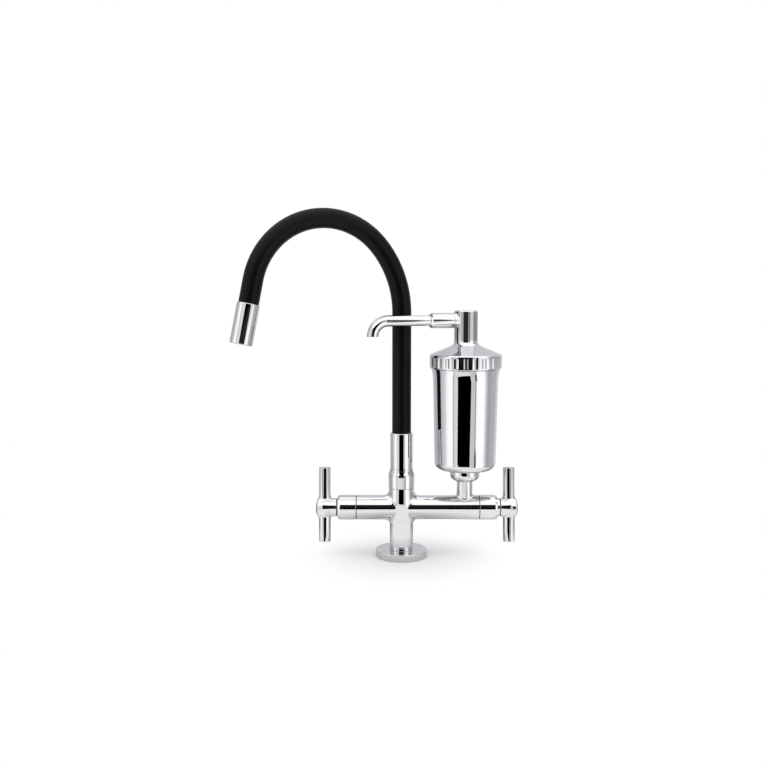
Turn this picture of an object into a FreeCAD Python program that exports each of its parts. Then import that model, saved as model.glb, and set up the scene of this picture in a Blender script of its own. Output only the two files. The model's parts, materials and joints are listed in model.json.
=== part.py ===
import FreeCAD, Part
import math
import os
from FreeCAD import Vector

os.makedirs("parts", exist_ok=True)

# Flexible kitchen tap with a built-in water filter, in millimetres.
# The origin is the centre of the flange's underside, on the deck that the tap stands on.
# +Z is up, X runs along the two arms with the filter on the +X side, and -Y faces the user.

X = Vector(1, 0, 0)
Y = Vector(0, 1, 0)
Z = Vector(0, 0, 1)
ORIGIN = Vector(0, 0, 0)

# Named clearances
running_gap = 0.05      # radial play between a turning piece and its bore
face_gap = 0.3          # end play between pieces that move past each other
thread_gap = 0.05       # radial play of a screwed or pushed fit inside one body
disc_film = 0.02        # water film between the two ceramic discs
cap_thread_gap = 0.3    # radial play of the hand-tight thread of the filter cap
layer_gap = 0.2         # radial play between the layers of the hose
shadow_gap = 0.8        # dark groove left between a bonnet and its neighbours
overrun = 1.0           # how far a cutter reaches past the face that it opens
edge_round = 0.6        # rounding of plain outer edges
fine_round = 0.4        # rounding of small edges

# Deck fixing
shank_r = 10.478        # major radius of a G 1/2 thread
shank_wall = 4.0
shank_below_deck = 60.0
shank_in_body = 13.0
inlet_tail_length = 25.0    # free thread at the foot, where the supply hose screws on
relief_width = 1.0
relief_depth = 0.8
deck_thickness = 20.0
flange_r = 28.5
flange_height = 8.0
flange_rim = 3.5
gasket_width = 5.0
gasket_thickness = 2.0
washer_width = 8.5
rubber_washer_thickness = 3.0
steel_washer_thickness = 2.0
nut_wall = 3.0
nut_height = 8.0
nut_bevel = 1.4
base_ring_height = 3.3
base_ring_lip = 0.3

# Cross body
column_r = 12.9
column_height = 44.0
column_flare = 1.05
centre_swell = 2.05
centre_rise = 2.0
centre_round = 60.0
centre_foot_drop = 16.0
centre_foot_round = 30.0
head_height = 22.7
left_arm_swell = 0.6
right_arm_swell = 0.3
right_arm_flare = 0.4
right_flare_start = 50.0
arm_blend_r = 6.0
left_seam = 49.8
right_seam = 86.0
inlet_bore_r = 6.0
cross_bore_r = 4.5
mixing_wall = 3.7
cross_drill_r = 2.5
filter_from_seam = 15.5
neck_r = 8.7
neck_height = 29.7
neck_blend_r = 3.0

# Valve cartridges
seat_depth = 22.0
arm_wall = 3.2
seat_gasket_width = 3.0
seat_gasket_thickness = 1.6
skirt_play = 0.9
skirt_wall = 1.1
fixed_disc_play = 0.1
fixed_disc_thickness = 2.8
moving_disc_play = 0.5
moving_disc_thickness = 2.4
disc_port_r = 2.2
disc_port_offset = 4.2
cartridge_thread_length = 9.0
cartridge_collar_length = 2.5
cartridge_hex_length = 6.0
cartridge_neck_r = 8.5
cartridge_neck_length = 10.5
window_length = 3.6
window_width = 6.0
body_seal_minor_r = 0.8
seam_ring_drop = 0.5
seam_ring_play = 0.1
spindle_r = 4.5
carrier_width = 5.0
carrier_thickness = 1.4
tongue_width = 3.0
tongue_depth = 1.0

# Bonnets and handles
bonnet_swell = 0.15
bonnet_wall = 1.65
bonnet_play = 0.4
bonnet_hole_play = 1.1
bonnet_seat_depth = 3.5
bonnet_bevel = 2.5
bonnet_bevel_depth = 1.25
left_bonnet_length = 21.2
right_bonnet_length = 20.4
gland_length = 3.0
gland_r = 10.0
hub_neck_r = 10.2
hub_neck_round = 4.0
hub_swell = 1.8
hub_swell_reach = 7.5
hub_swell_round = 14.0
hub_end_cut = 0.2
hub_dome_r = 23.0
hub_edge_r = 2.0
left_hub_gap = 1.4      # groove left behind the hub, with a dark ring in it
right_hub_gap = 0.8
left_hub_length = 23.4
right_hub_length = 20.0
bar_inset = 10.1
bar_r = 6.5
bar_length = 82.6
bar_rise = 3.2
bar_to_spindle = 0.5
bar_collar_wall = 0.3
bar_collar_blend = 2.0
handle_lean = 6.0       # both handles lean back from upright when closed, in degrees
screw_r = 1.5
screw_length = 4.8
screw_at = 1.9
screw_key = 1.6
screw_key_depth = 1.5

# Hose, from the inside out: water tube, steel gooseneck and smooth rubber sleeve
tube_bore_r = 4.0
tube_wall = 1.2
core_wall = 2.2
sleeve_wall = 2.7
barb_wall = 1.15
barb_length = 18.0
core_socket_depth = 6.0

# Swivel between the body and the spout
nipple_step = 1.5
nipple_wall = 3.5
nipple_thread_depth = 1.0
nipple_thread_length = 9.0
nipple_above_ring = 3.0
swivel_seal_minor_r = 0.9
lower_seal_rise = 5.7
seal_spacing = 8.0
ring_seat_rise = 25.7
snap_ring_width = 2.1
snap_ring_bite = 0.8
snap_ring_thickness = 1.2
snap_ring_split = 2.0
ferrule_swell = 0.45
ferrule_bulge = 0.25
ferrule_bulge_rise = 14.4
ferrule_bulge_round = 8.0
ferrule_neck_rise = 19.9
ferrule_neck_round = 16.0
ferrule_wall = 1.95
ferrule_length = 61.3
ferrule_edge = 1.0
ferrule_chamber = 5.0
lower_fitting_length = 15.0

# Route of the hose, in a vertical plane turned from -X towards the user
arch_turn = 25.0
riser_length = 132.4
rising_arc_r = 108.0
rising_arc_deg = 42.0
crown_arc_r = 81.4
crown_arc_deg = 126.3
end_run = 24.6

# Stretches of the hose from the top of the riser: bend, span, bend, span, and a last bend
lower_bend_length = 80.0
lower_span_length = 26.0
crown_bend_length = 76.0
upper_span_length = 26.0

# Nozzle
nozzle_swell = 1.25
nozzle_wall = 1.6
nozzle_length = 42.0
nozzle_top_wall = 2.0
nozzle_edge = 0.8
nozzle_throat = 14.0
nozzle_cavity_wall = 2.1
aerator_length = 9.5
aerator_wall = 1.2
aerator_recess = 2.5
aerator_step = 1.0
aerator_insert_thickness = 4.0
aerator_hole_r = 0.9
aerator_row_count = 3
aerator_first_row_count = 6
aerator_rim_width = 1.9
aerator_gasket_width = 3.0
aerator_gasket_thickness = 1.5

# Filter foot and cup
bulb_r = 16.5
bulb_height = 13.7
bulb_slope = 4.0
bulb_round = 7.0
bulb_neck_lip = 0.3
base_stub_length = 8.0
base_wall = 2.0
base_bore_r = 4.0
base_thread_step = 2.0
cup_lift = 0.3
cup_boss_inset = 2.0
cup_floor_thickness = 2.5
cup_side_r = 36.0
cup_taper = 2.3
cup_corner_r = 8.0
cup_wall = 2.2
cup_flare_rise = 105.6
cup_flare_round = 40.0
cup_rim = 1.9
cup_rim_rise = 111.8
cup_rim_step = 1.7
cup_neck_height = 12.7
cup_neck_wall = 3.4
cup_seal_minor_r = 0.9
cup_seal_drop = 2.5
cup_nut_height = 4.0
cup_nut_wall = 3.0

# Filter element
element_gap = 5.7
element_core_r = 9.0
element_length = 96.2
end_cap_thickness = 3.0
end_cap_rim = 1.0
bottom_socket_height = 7.2
top_socket_wall = 3.0
top_socket_height = 11.0

# Filter cap with its grip band, cone and stem
cap_wall = 2.9
cap_edge = 1.0
cap_shoulder_wall = 1.8
cap_shoulder_round = 2.2
cap_cone_height = 10.8
cap_roof_thickness = 2.6
cap_head_room = 1.1
stem_r = 12.8
stem_length = 37.4
stem_blend_r = 6.5
stem_edge = 1.6
stem_dome = 0.4
stem_wall = 4.8
stem_floor_drop = 0.7
stem_roof = 5.6
spigot_r = 7.0
spigot_wall = 3.0
spigot_engagement = 7.0
spigot_seal_minor_r = 0.7
spigot_seal_rise = 3.0
flute_count = 36
flute_depth = 0.5
flute_width = 5.6
flute_start = 1.8
flute_end_margin = 2.8

# Filter spout, turned from -X towards the user
spout_turn = 15.5
spout_tube_bore_r = 4.4
spout_tube_wall = 1.2
spout_tube_swell = 0.6
spout_bend_start = 89.3
spout_bend_r = 16.7
collar_wall = 2.65
collar_end = 42.0
collar_bevel = 1.6
collar_drop = 2.6
collar_groove_at = 2.0
collar_groove_width = 0.8
collar_groove_depth = 0.5
collar_nipple_wall = 1.1
spout_tube_depth = 21.3

# Derived radii
left_arm_r = column_r + left_arm_swell
right_arm_r = column_r + right_arm_swell
right_arm_end_r = right_arm_r + right_arm_flare
column_top_r = column_r + column_flare
shank_hole_r = shank_r + thread_gap
gasket_outer_r = flange_r - flange_rim
gasket_inner_r = gasket_outer_r - gasket_width
chamber_r = left_arm_r - arm_wall
skirt_r = chamber_r - skirt_play
skirt_bore_r = skirt_r - skirt_wall
fixed_disc_r = skirt_bore_r - fixed_disc_play
moving_disc_r = skirt_bore_r - moving_disc_play
bonnet_r = left_arm_r + bonnet_swell
bonnet_bore_r = bonnet_r - bonnet_wall
bonnet_hole_r = spindle_r + bonnet_hole_play
collar_seat_r = bonnet_bore_r - bonnet_play
hub_swell_r = hub_neck_r + hub_swell
hub_end_r = hub_neck_r - hub_end_cut
bar_collar_r = bar_r + bar_collar_wall
tube_r = tube_bore_r + tube_wall
core_bore_r = tube_r + layer_gap
core_r = core_bore_r + core_wall
sleeve_bore_r = core_r + layer_gap
sleeve_r = sleeve_bore_r + sleeve_wall
barb_r = tube_bore_r - thread_gap
barb_bore_r = barb_r - barb_wall
hose_socket_r = sleeve_r + thread_gap
nipple_r = sleeve_r - nipple_step
nipple_thread_r = nipple_r + nipple_thread_depth
nipple_bore_r = nipple_r - nipple_wall
snap_groove_r = nipple_r - snap_ring_bite
snap_ring_r = snap_groove_r + snap_ring_width
mixing_bore_r = nipple_thread_r - nipple_wall
ferrule_foot_r = column_top_r + ferrule_swell
ferrule_r = hose_socket_r + ferrule_wall
nozzle_r = sleeve_r + nozzle_swell
nozzle_bore_r = nozzle_r - nozzle_wall
base_spigot_r = base_bore_r + base_wall
base_thread_r = base_spigot_r + base_thread_step
cup_bottom_r = cup_side_r - cup_taper
cup_rim_r = cup_side_r + cup_rim
cup_neck_r = cup_rim_r - cup_rim_step
cup_neck_bore_r = cup_neck_r - cup_neck_wall
cap_bore_r = cup_neck_r + cap_thread_gap
cap_r = cap_bore_r + cap_wall
element_r = cup_bottom_r - cup_wall - element_gap
stem_bore_r = stem_r - stem_wall
spigot_bore_r = spigot_r - spigot_wall
spout_tube_r = spout_tube_bore_r + spout_tube_wall
spout_bend_tube_r = spout_tube_r + spout_tube_swell
collar_bore_r = spout_tube_r + thread_gap
collar_r = collar_bore_r + collar_wall
collar_nipple_r = spout_tube_bore_r + collar_nipple_wall

# Derived heights and places
column_foot = flange_height + base_ring_height
arm_height = column_foot + column_height
body_top = arm_height + head_height
mixing_floor = arm_height + cross_bore_r + mixing_wall
nipple_floor = body_top - nipple_thread_length
left_seat = left_seam - seat_depth
right_seat = right_seam - seat_depth
filter_x = right_seam - filter_from_seam
neck_top = arm_height + neck_height
ferrule_foot = body_top + face_gap
ring_seat = ferrule_foot + ring_seat_rise
snap_ring_floor = ring_seat + face_gap
nipple_top = ring_seat + nipple_above_ring
ferrule_top = ferrule_foot + ferrule_length
fitting_floor = nipple_top + ferrule_chamber
fitting_top = fitting_floor + lower_fitting_length
swivel_seal_heights = [ferrule_foot + lower_seal_rise,
                       ferrule_foot + lower_seal_rise + seal_spacing]
riser_top = ferrule_top + riser_length
stub_floor = neck_top - base_stub_length
bulb_top = neck_top + bulb_height
cup_floor = bulb_top + cup_lift
cup_inner_floor = cup_floor + cup_floor_thickness
base_thread_top = cup_inner_floor + cup_nut_height
cup_flare_height = cup_floor + cup_flare_rise
cup_rim_height = cup_floor + cup_rim_rise
cup_neck_top = cup_rim_height + cup_neck_height
cup_seal_height = cup_neck_top - cup_seal_drop
element_floor = base_thread_top + face_gap + end_cap_thickness
element_top = element_floor + element_length
base_spigot_top = element_floor + bottom_socket_height
cap_bottom = cup_rim_height + face_gap
cap_inner_shoulder = cup_neck_top + cap_head_room
cap_shoulder = cap_inner_shoulder + cap_shoulder_wall
stem_foot = cap_shoulder + cap_cone_height
stem_top = stem_foot + stem_length
stem_bore_floor = stem_foot - stem_floor_drop
stem_bore_top = stem_top - stem_roof
top_plate = element_top + end_cap_thickness
spigot_bottom = top_plate + top_socket_height - spigot_engagement
spigot_seal_height = spigot_bottom + spigot_seal_rise
spout_height = stem_top - collar_r - collar_drop


def rounded_outline(points):
    """A closed wire in the XZ plane through (radius, height) points; a third number rounds that corner."""
    corners = [Vector(p[0], 0, p[1]) for p in points]
    radii = [p[2] if len(p) > 2 else 0 for p in points]
    entries, exits, middles = [], [], []
    for i, corner in enumerate(corners):
        to_last = (corners[i - 1] - corner).normalize()
        to_next = (corners[(i + 1) % len(corners)] - corner).normalize()
        half_angle = to_last.getAngle(to_next) / 2
        setback = radii[i] / math.tan(half_angle) if radii[i] else 0
        entries.append(corner + to_last * setback)
        exits.append(corner + to_next * setback)
        to_centre = (to_last + to_next).normalize() if radii[i] else Vector(0, 0, 0)
        reach = radii[i] / math.sin(half_angle) - radii[i] if radii[i] else 0
        middles.append(corner + to_centre * reach)
    edges = []
    for i in range(len(corners)):
        if radii[i]:
            edges.append(Part.Arc(entries[i], middles[i], exits[i]).toShape())
        following = entries[(i + 1) % len(corners)]
        if exits[i].distanceToPoint(following) > 1e-6:
            edges.append(Part.LineSegment(exits[i], following).toShape())
    return Part.Wire(edges)


def turned(points):
    """The solid made by turning a closed outline of (radius, height) points about Z."""
    return Part.Face(rounded_outline(points)).revolve(ORIGIN, Z, 360)


def ring(outer_r, inner_r, bottom, top, round_r=0):
    """A plain ring about Z, with its outer corners rounded."""
    return turned([(inner_r, bottom), (outer_r, bottom, round_r),
                   (outer_r, top, round_r), (inner_r, top)])


def rod(radius, start, end):
    """A straight round bar from one point to another."""
    return Part.makeCylinder(radius, start.distanceToPoint(end), start, end - start)


def post(radius, bottom, top, x=0, y=0):
    """A round bar standing along Z."""
    return rod(radius, Vector(x, y, bottom), Vector(x, y, top))


def o_ring(shaft_r, minor_r, height):
    """A rubber ring about Z that stands flush with its shaft."""
    return Part.makeTorus(shaft_r - minor_r, minor_r, Vector(0, 0, height), Z)


def seal_groove(shaft_r, minor_r, height):
    """The cutter for the groove of such a ring."""
    return ring(shaft_r + overrun, shaft_r - 2 * minor_r, height - minor_r, height + minor_r)


def hexagon(across_flats, bottom, top):
    """A six-sided bar about Z."""
    corner_r = across_flats / math.sqrt(3)
    corners = [Vector(corner_r * math.cos(math.radians(60 * i)),
                      corner_r * math.sin(math.radians(60 * i)), bottom) for i in range(7)]
    return Part.Face(Part.makePolygon(corners)).extrude(Vector(0, 0, top - bottom))


def posed(shape, origin, direction):
    """Carries a shape built about +Z at the origin to another origin and axis."""
    moved = shape.copy()
    moved.Placement = FreeCAD.Placement(origin, FreeCAD.Rotation(Z, direction))
    return moved


def save(name, shape):
    shape.exportStep("parts/" + name + ".step")


# Deck fixing

def deck_flange():
    disc = ring(flange_r, shank_hole_r, 0, flange_height, edge_round)
    return disc.cut(ring(gasket_outer_r, gasket_inner_r, 0, gasket_thickness))


def mounting_shank():
    """The threaded tube through the deck, with a relief groove above its free tail."""
    bore_r = shank_r - shank_wall
    tube = ring(shank_r, bore_r, -shank_below_deck, column_foot + shank_in_body)
    lead_in = Part.makeCone(bore_r + edge_round, bore_r, edge_round,
                            Vector(0, 0, -shank_below_deck), Z)
    tail_top = inlet_tail_length - shank_below_deck
    relief = ring(shank_r + overrun, shank_r - relief_depth, tail_top, tail_top + relief_width)
    return tube.cut([lead_in, relief])


def mounting_nut(top):
    """The back nut, its lower corners bevelled."""
    bottom = top - nut_height
    flats_r = shank_r + nut_wall
    corner_r = 2 * flats_r / math.sqrt(3) + fine_round
    nut = hexagon(2 * flats_r, bottom, top)
    bevel = turned([(0, bottom), (flats_r + fine_round, bottom), (corner_r, bottom + nut_bevel),
                    (corner_r, top), (0, top)])
    return nut.common(bevel).cut(post(shank_hole_r, bottom, top))


def make_deck_fixing():
    save("deck_flange", deck_flange())
    save("flange_gasket", ring(gasket_outer_r, gasket_inner_r, 0, gasket_thickness))
    save("base_ring", ring(column_r + base_ring_lip, shank_hole_r, flange_height,
                           column_foot, fine_round))
    save("mounting_shank", mounting_shank())
    washer_r = shank_r + washer_width
    steel_top = -deck_thickness - rubber_washer_thickness
    nut_top = steel_top - steel_washer_thickness
    save("deck_washer_rubber", ring(washer_r, shank_hole_r, steel_top, -deck_thickness))
    save("deck_washer_steel", ring(washer_r, shank_hole_r, nut_top, steel_top))
    save("mounting_nut", mounting_nut(nut_top))


# Cross body

def arm_axis(x):
    return Vector(x, 0, arm_height)


def crosses_column(edge):
    """Whether an edge lies where the column meets an arm."""
    box = edge.BoundBox
    reach = 2 * column_top_r
    inside = box.XMin > -reach and box.XMax < reach
    return inside and abs(box.Center.z - arm_height) < left_arm_r and box.ZLength > overrun


def crosses_neck(edge):
    """Whether an edge lies where the filter neck leaves the right arm."""
    box = edge.BoundBox
    inside = box.XMin > filter_x - neck_r - overrun and box.XMax < filter_x + neck_r + overrun
    return inside and arm_height < box.ZMin and box.ZMax < arm_height + 2 * left_arm_r \
        and box.YLength > overrun


def body_skin():
    """The swollen column, the two arms and the filter neck, blended where they meet."""
    taper_end = column_top_r + arm_blend_r + overrun
    outline = [(-left_seam, left_arm_r), (-taper_end, left_arm_r), (taper_end, right_arm_r),
               (right_flare_start, right_arm_r), (right_seam, right_arm_end_r)]
    corners = [arm_axis(x) + Z * r for x, r in outline]
    corners += [arm_axis(right_seam), arm_axis(-left_seam), corners[0]]
    arms = Part.Face(Part.makePolygon(corners)).revolve(arm_axis(0), X, 360)
    column = turned([(0, column_foot), (column_r, column_foot),
                     (column_r, arm_height - centre_foot_drop, centre_foot_round),
                     (column_r + centre_swell, arm_height + centre_rise, centre_round),
                     (column_top_r, body_top), (0, body_top)])
    skin = arms.fuse(column)
    skin = skin.makeFillet(arm_blend_r, [e for e in skin.Edges if crosses_column(e)])
    skin = skin.fuse(post(neck_r, arm_height, neck_top, filter_x))
    return skin.makeFillet(neck_blend_r, [e for e in skin.Edges if crosses_neck(e)])


def tap_body():
    """The casting with its water ways: inlet, valve chambers, crossing drill and filter neck."""
    socket_top = column_foot + shank_in_body
    drill_start = Vector(cross_drill_r - mixing_bore_r, 0, mixing_floor + cross_drill_r + overrun)
    drill_end = Vector(-left_seat - cross_drill_r, 0, arm_height + chamber_r - cross_drill_r
                       - edge_round)
    ways = [
        post(shank_hole_r, column_foot, socket_top),
        post(inlet_bore_r, socket_top, arm_height),
        rod(cross_bore_r, arm_axis(-left_seat), arm_axis(right_seat)),
        rod(chamber_r, arm_axis(-left_seam), arm_axis(-left_seat)),
        rod(chamber_r, arm_axis(right_seat), arm_axis(right_seam)),
        post(mixing_bore_r, mixing_floor, nipple_floor),
        post(nipple_thread_r + thread_gap, nipple_floor, body_top),
        rod(cross_drill_r, drill_start, drill_end),
        post(base_bore_r, arm_height, stub_floor, filter_x),
        post(base_spigot_r + thread_gap, stub_floor, neck_top, filter_x),
    ]
    return body_skin().cut(ways)


# Valves and handles, built about +Z as the outward direction with the arm's seam at zero

gasket_top = seat_gasket_thickness - seat_depth
fixed_disc_top = gasket_top + fixed_disc_thickness
moving_disc_bottom = fixed_disc_top + disc_film
moving_disc_top = moving_disc_bottom + moving_disc_thickness
body_seal_at = -body_seal_minor_r - edge_round
hex_floor = cartridge_collar_length
neck_floor = hex_floor + cartridge_hex_length
neck_end = neck_floor + cartridge_neck_length


def disc_ports(bottom, top):
    return [post(disc_port_r, bottom, top, 0, sign * disc_port_offset) for sign in (-1, 1)]


def cartridge():
    """The brass valve housing: skirt with windows, thread, collar, hexagon and neck."""
    stem_bore_r_here = spindle_r + running_gap
    thread_r = chamber_r - thread_gap
    body = ring(skirt_r, skirt_bore_r, gasket_top, -cartridge_thread_length)
    body = body.fuse([ring(thread_r, stem_bore_r_here, -cartridge_thread_length, 0),
                      ring(collar_seat_r, stem_bore_r_here, 0, hex_floor),
                      hexagon(math.sqrt(3) * collar_seat_r, hex_floor, neck_floor),
                      ring(cartridge_neck_r, stem_bore_r_here, neck_floor, neck_end)])
    window = Part.makeBox(2 * chamber_r, window_width, window_length,
                          Vector(-chamber_r, -window_width / 2,
                                 -cartridge_thread_length - window_length))
    bore = post(stem_bore_r_here, hex_floor, neck_floor)
    return body.cut([window, bore, seal_groove(thread_r, body_seal_minor_r, body_seal_at)])


def cartridge_seals(bonnet_end, hub_gap):
    """The seat gasket, the O-ring under the collar and a flat ring at each end of the bonnet."""
    gasket = ring(fixed_disc_r, fixed_disc_r - seat_gasket_width, -seat_depth, gasket_top)
    body_seal = o_ring(chamber_r - thread_gap, body_seal_minor_r, body_seal_at)
    seam_ring = ring(left_arm_r - seam_ring_drop, collar_seat_r + thread_gap, 0,
                     shadow_gap - seam_ring_play)
    hub_ring = ring(hub_neck_r - seam_ring_drop, bonnet_hole_r, bonnet_end,
                    bonnet_end + hub_gap - face_gap)
    return Part.makeCompound([gasket, body_seal, seam_ring, hub_ring])


def fixed_disc():
    disc = post(fixed_disc_r, gasket_top, fixed_disc_top)
    return disc.cut(disc_ports(gasket_top, fixed_disc_top))


def moving_disc():
    disc = post(moving_disc_r, moving_disc_bottom, moving_disc_top)
    slot = Part.makeBox(2 * moving_disc_r, tongue_width, tongue_depth,
                        Vector(-moving_disc_r, -tongue_width / 2, moving_disc_top - tongue_depth))
    return disc.cut(disc_ports(moving_disc_bottom, moving_disc_top) + [slot])


def spindle(end):
    """The stem that turns the moving disc, with its drive tongue and carrier bar."""
    carrier_top = moving_disc_top + carrier_thickness
    tongue_floor = moving_disc_top - tongue_depth
    carrier = Part.makeBox(2 * moving_disc_r, carrier_width, carrier_thickness,
                           Vector(-moving_disc_r, -carrier_width / 2, moving_disc_top))
    tongue = Part.makeBox(2 * moving_disc_r, tongue_width - 2 * thread_gap, tongue_depth,
                          Vector(-moving_disc_r, thread_gap - tongue_width / 2, tongue_floor))
    foot = carrier.fuse(tongue).common(post(moving_disc_r, tongue_floor, carrier_top))
    return post(spindle_r, moving_disc_top, end).fuse(foot)


def bonnet(length):
    """The smooth cover over the cartridge's hexagon, with a bevelled outer end."""
    neck_bore_r = cartridge_neck_r + thread_gap
    return turned([(bonnet_bore_r, shadow_gap), (bonnet_r, shadow_gap, fine_round),
                   (bonnet_r, length - bonnet_bevel, fine_round),
                   (bonnet_r - bonnet_bevel_depth, length, fine_round), (bonnet_hole_r, length),
                   (bonnet_hole_r, neck_end), (neck_bore_r, neck_end),
                   (neck_bore_r, neck_end - bonnet_seat_depth),
                   (bonnet_bore_r, neck_end - bonnet_seat_depth)])


def crosses_collar(edge, bar_at):
    """Whether an edge lies where one of the bar's collars leaves the hub."""
    box = edge.BoundBox
    height = abs(box.Center.x)
    return abs(box.Center.z - bar_at) < bar_collar_r and box.XLength > running_gap \
        and bar_r < height < hub_neck_r + bar_collar_blend


def handle_hub(start, end, bar_at):
    """The hub on the spindle: swollen round the bar, with a domed outer end and soft collars."""
    bore_r = spindle_r + thread_gap
    hub = turned([(bore_r, start), (hub_neck_r, start, fine_round),
                  (hub_neck_r, bar_at - hub_swell_reach, hub_neck_round),
                  (hub_swell_r, bar_at, hub_swell_round), (hub_end_r, end), (0, end),
                  (0, bar_at), (bore_r, bar_at)])
    hub = hub.common(Part.makeSphere(hub_dome_r, Vector(0, 0, end - hub_dome_r)))
    rim = [e for e in hub.Edges if e.BoundBox.ZMin > (bar_at + end) / 2
           and e.BoundBox.XLength > hub_neck_r and e.BoundBox.ZLength < edge_round]
    hub = hub.makeFillet(hub_edge_r, rim)
    reach = hub_neck_r + bar_collar_blend + fine_round
    hub = hub.fuse(rod(bar_collar_r, Vector(-reach, 0, bar_at), Vector(reach, 0, bar_at)))
    return hub.makeFillet(bar_collar_blend, [e for e in hub.Edges if crosses_collar(e, bar_at)])


def handle_screw():
    """The grub screw that holds the hub on the spindle, with its key socket."""
    screw = post(screw_r, 0, screw_length)
    return screw.cut(hexagon(screw_key, screw_length - screw_key_depth, screw_length))


def make_valve(name, side, bonnet_length, gland, hub_gap, hub_length):
    """Everything on one arm; side is -1 for the left arm and 1 for the right one."""
    seam = left_seam if side < 0 else right_seam
    hub_start = bonnet_length + gland + hub_gap
    hub_end = hub_start + hub_length
    bar_at = hub_end - bar_inset

    def outward(shape):
        return posed(shape, arm_axis(side * seam), X * side)

    pieces = {
        "bonnet": bonnet(bonnet_length),
        "cartridge": cartridge(),
        "cartridge_seals": cartridge_seals(bonnet_length + gland, hub_gap),
        "fixed_disc": fixed_disc(),
        "moving_disc": moving_disc(),
        "spindle": spindle(bar_at - bar_r - bar_to_spindle),
    }
    if gland:
        pieces["gland_ring"] = ring(gland_r, bonnet_hole_r, bonnet_length,
                                    bonnet_length + gland, fine_round)
    for piece, shape in pieces.items():
        save(name + "_" + piece, outward(shape))
    bar_x = side * (seam + bar_at)
    bar_low = arm_height + bar_rise - bar_length / 2
    bar = turned([(0, bar_low), (bar_r, bar_low, edge_round),
                  (bar_r, bar_low + bar_length, edge_round), (0, bar_low + bar_length)])
    bar.translate(X * bar_x)
    screw_axis = arm_axis(side * (seam + hub_start + screw_at))
    holes = [post(bar_r + thread_gap, 0, 2 * arm_height, bar_x),
             rod(screw_r + thread_gap, screw_axis, screw_axis + Y * (hub_neck_r + overrun))]
    pieces = {
        "handle_hub": outward(handle_hub(hub_start, hub_end, bar_at)).cut(holes),
        "handle_bar": bar,
        "handle_screw": posed(handle_screw(), screw_axis + Y * spindle_r, Y),
    }
    for piece, shape in pieces.items():
        shape.rotate(arm_axis(0), X, -handle_lean)
        save(name + "_" + piece, shape)


# Swivel

def swivel_nipple():
    nipple = turned([(nipple_bore_r, nipple_floor), (nipple_thread_r, nipple_floor),
                     (nipple_thread_r, body_top), (nipple_r, body_top),
                     (nipple_r, nipple_top), (nipple_bore_r, nipple_top)])
    cuts = [seal_groove(nipple_r, swivel_seal_minor_r, h) for h in swivel_seal_heights]
    cuts.append(ring(nipple_r + overrun, snap_groove_r, snap_ring_floor,
                     snap_ring_floor + snap_ring_thickness))
    return nipple.cut(cuts)


def snap_ring():
    """The split spring ring that keeps the ferrule on its nipple."""
    circle = ring(snap_ring_r, snap_groove_r, snap_ring_floor,
                  snap_ring_floor + snap_ring_thickness)
    split = Part.makeBox(snap_ring_r, snap_ring_split, snap_ring_thickness,
                         Vector(0, -snap_ring_split / 2, snap_ring_floor))
    return circle.cut(split)


def spout_ferrule():
    """The chrome sleeve that turns on the nipple and carries the hose."""
    bore_r = nipple_r + running_gap
    return turned([(bore_r, ferrule_foot), (ferrule_foot_r, ferrule_foot, fine_round),
                   (ferrule_foot_r + ferrule_bulge, ferrule_foot + ferrule_bulge_rise,
                    ferrule_bulge_round),
                   (ferrule_r, ferrule_foot + ferrule_neck_rise, ferrule_neck_round),
                   (ferrule_r, ferrule_top, ferrule_edge), (hose_socket_r, ferrule_top),
                   (hose_socket_r, ring_seat), (bore_r, ring_seat)])


def lower_fitting():
    """A collar that holds the gooseneck, with a barb inside the water tube."""
    collar_r_here = hose_socket_r - thread_gap
    socket_floor = fitting_top - core_socket_depth
    barb_top = fitting_top + barb_length
    return turned([(barb_bore_r, fitting_floor), (collar_r_here, fitting_floor),
                   (collar_r_here, fitting_top), (core_r + thread_gap, fitting_top),
                   (core_r + thread_gap, socket_floor), (barb_r, socket_floor),
                   (barb_r, barb_top), (barb_bore_r, barb_top)])


def make_swivel():
    save("swivel_nipple", swivel_nipple())
    save("swivel_o_rings", Part.makeCompound([o_ring(nipple_r, swivel_seal_minor_r, h)
                                              for h in swivel_seal_heights]))
    save("swivel_snap_ring", snap_ring())
    save("spout_ferrule", spout_ferrule())
    save("hose_lower_fitting", lower_fitting())


# Hose

arch_out = Vector(-math.cos(math.radians(arch_turn)), -math.sin(math.radians(arch_turn)), 0)
rising_length = rising_arc_r * math.radians(rising_arc_deg)
crown_length = crown_arc_r * math.radians(crown_arc_deg)
arcs_length = rising_length + crown_length
hose_end = arcs_length + end_run


def in_plane(across, height):
    return arch_out * across + Z * height


def hose_at(station):
    """The point and heading of the hose's centre line; a negative station lies on the riser."""
    if station <= 0:
        return in_plane(0, riser_top + station), Z
    turn = min(station, rising_length) / rising_arc_r
    across = rising_arc_r * (1 - math.cos(turn))
    height = riser_top + rising_arc_r * math.sin(turn)
    if station > rising_length:
        more = min(station - rising_length, crown_length) / crown_arc_r
        across += crown_arc_r * (math.cos(turn) - math.cos(turn + more))
        height += crown_arc_r * (math.sin(turn + more) - math.sin(turn))
        turn += more
    straight = max(0, station - arcs_length)
    return (in_plane(across + straight * math.sin(turn), height + straight * math.cos(turn)),
            in_plane(math.sin(turn), math.cos(turn)))


def hose_path(start, end):
    """The centre line between two stations, as straight runs joined by tangent arcs."""
    stations = [start] + [b for b in (0, rising_length, arcs_length) if start < b < end] + [end]
    edges = []
    for low, high in zip(stations, stations[1:]):
        first, last = hose_at(low)[0], hose_at(high)[0]
        if high <= 0 or low >= arcs_length:
            edges.append(Part.LineSegment(first, last).toShape())
        else:
            edges.append(Part.Arc(first, hose_at((low + high) / 2)[0], last).toShape())
    return Part.Wire(edges)


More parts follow.
